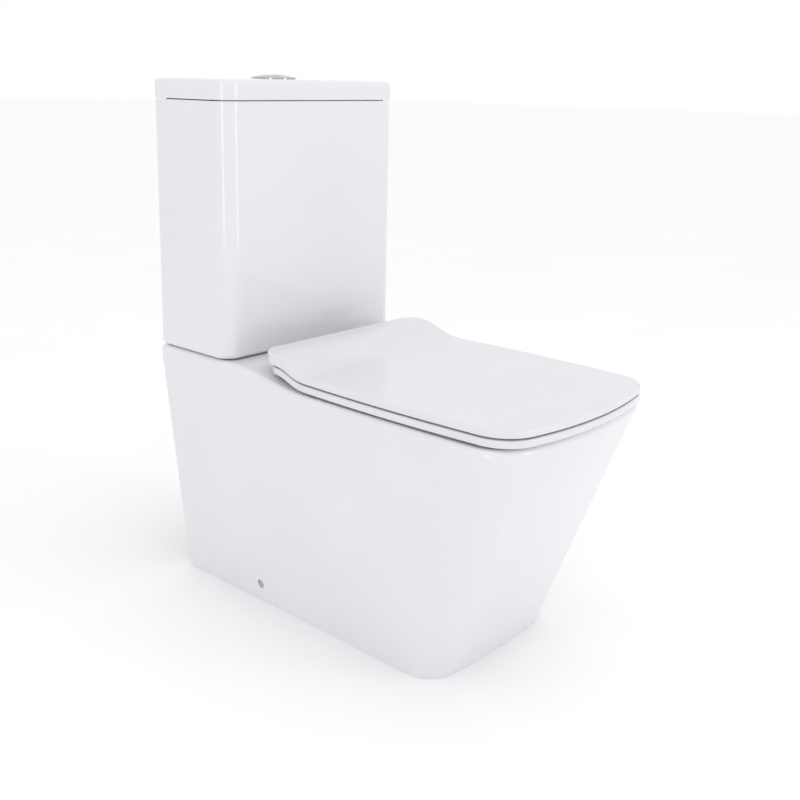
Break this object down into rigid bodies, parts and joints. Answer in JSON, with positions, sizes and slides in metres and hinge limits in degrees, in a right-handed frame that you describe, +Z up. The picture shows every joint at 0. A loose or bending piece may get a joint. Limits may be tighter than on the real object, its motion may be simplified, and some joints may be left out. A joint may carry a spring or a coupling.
{
  "type": "close coupled toilet",
  "caption": "Back-to-wall close coupled toilet with a skirted pan, a tall tank with a dual flush button and a slim hinged seat and lid.",
  "frame": {"origin": "on the floor, in the middle of the toilet's footprint, which reaches from the wall behind it to the front of the seat", "axes": "+Z is up, the toilet faces -Y and +X is to the right of someone who faces it"},
  "size_m": [0.3732, 0.695, 0.8206],
  "materials": {
    "glazed_ceramic": "white glaze, high gloss",
    "seat_plastic": "white, glossy moulded thermoset",
    "chrome_trim": "polished chrome plate",
    "hinge_metal": "satin stainless steel",
    "zinc_steel": "zinc plated steel",
    "valve_plastic": "natural white moulded plastic",
    "valve_grey": "grey moulded plastic",
    "valve_blue": "blue moulded plastic",
    "rubber": "black moulded rubber",
    "silicone": "red silicone",
    "buffer_rubber": "translucent white rubber"
  },
  "bodies": {
    "root": {"pan": "glazed_ceramic", "cistern": "glazed_ceramic", "cistern_pads": "rubber", "tank_lid_pads": "rubber", "flush_valve_base": "valve_plastic", "flush_valve_cage": "valve_plastic", "lever_bracket": "valve_plastic", "flush_valve_washer": "rubber", "flush_valve_backnut": "valve_plastic", "coupling_gasket": "rubber", "fill_valve_stem": "valve_plastic", "fill_valve_head": "valve_blue", "fill_valve_washer": "rubber", "fill_valve_backnut": "valve_plastic", "cistern_bolts": "zinc_steel", "cistern_bolt_seals": "rubber", "cistern_wing_nuts": "valve_plastic", "floor_brackets": "valve_plastic", "bracket_screws": "zinc_steel", "screw_caps": "chrome_trim", "hinge_pillars": "hinge_metal", "hinge_pins": "zinc_steel", "hinge_studs": "zinc_steel", "hinge_wing_nuts": "valve_plastic"},
    "tank_lid": {"tank_lid": "glazed_ceramic", "button_bezel": "chrome_trim", "bezel_locknut": "valve_plastic"},
    "full_button": {"full_flush_button": "chrome_trim", "full_push_rod": "valve_plastic"},
    "half_button": {"half_flush_button": "chrome_trim", "half_push_rod": "valve_plastic"},
    "flush_lift": {"overflow_tube": "valve_grey", "flush_seal": "silicone"},
    "full_lever": {"full_flush_lever": "valve_blue"},
    "half_lever": {"half_flush_lever": "valve_blue"},
    "float": {"fill_valve_float": "valve_grey"},
    "float_lever": {"fill_valve_lever": "valve_plastic"},
    "seat_ring": {"seat_ring": "seat_plastic", "ring_buffers": "buffer_rubber", "ring_damper": "valve_grey"},
    "seat_lid": {"seat_lid": "seat_plastic", "lid_buffers": "buffer_rubber", "lid_damper": "valve_grey"}
  },
  "joints": [
    {"name": "ring_hinge", "type": "hinge", "parent": "root", "child": "seat_ring", "pos_m": [0, 0.1155, 0.411], "axis": [-1, 0, 0], "range_deg": [0, 95]},
    {"name": "lid_hinge", "type": "hinge", "parent": "seat_ring", "child": "seat_lid", "pos_m": [0, 0.1155, 0.411], "axis": [1, 0, 0], "range_deg": [-95, 0]},
    {"name": "tank_lid_lift", "type": "slide", "parent": "root", "child": "tank_lid", "axis": [0, 0, 1], "range_m": [0, 0.06]},
    {"name": "full_button_press", "type": "slide", "parent": "tank_lid", "child": "full_button", "axis": [0, 0, -1], "range_m": [0, 0.008], "stiffness_N_per_m": 400, "springref_m": -0.004},
    {"name": "half_button_press", "type": "slide", "parent": "tank_lid", "child": "half_button", "axis": [0, 0, -1], "range_m": [0, 0.008], "stiffness_N_per_m": 400, "springref_m": -0.004},
    {"name": "flush_valve_lift", "type": "slide", "parent": "root", "child": "flush_lift", "axis": [0, 0, 1], "range_m": [0, 0.02]},
    {"name": "full_lever_rock", "type": "hinge", "parent": "root", "child": "full_lever", "pos_m": [0.034, 0.2835, 0.745], "axis": [0, -1, 0], "range_deg": [0, 25]},
    {"name": "half_lever_rock", "type": "hinge", "parent": "root", "child": "half_lever", "pos_m": [-0.034, 0.2835, 0.745], "axis": [0, 1, 0], "range_deg": [0, 25]},
    {"name": "float_rise", "type": "slide", "parent": "root", "child": "float", "axis": [0, 0, 1], "range_m": [0, 0.02]},
    {"name": "float_lever_tilt", "type": "hinge", "parent": "root", "child": "float_lever", "pos_m": [0.094, 0.2435, 0.739], "axis": [0, -1, 0], "range_deg": [0, 36]}
  ],
  "couplings": [
    {"joint": "flush_valve_lift", "follows": "full_button_press", "ratio": 2.5},
    {"joint": "full_lever_rock", "follows": "full_button_press", "rad_per_m": 52.5},
    {"joint": "half_lever_rock", "follows": "half_button_press", "rad_per_m": 52.5},
    {"joint": "float_lever_tilt", "follows": "float_rise", "rad_per_m": 30.5}
  ]
}
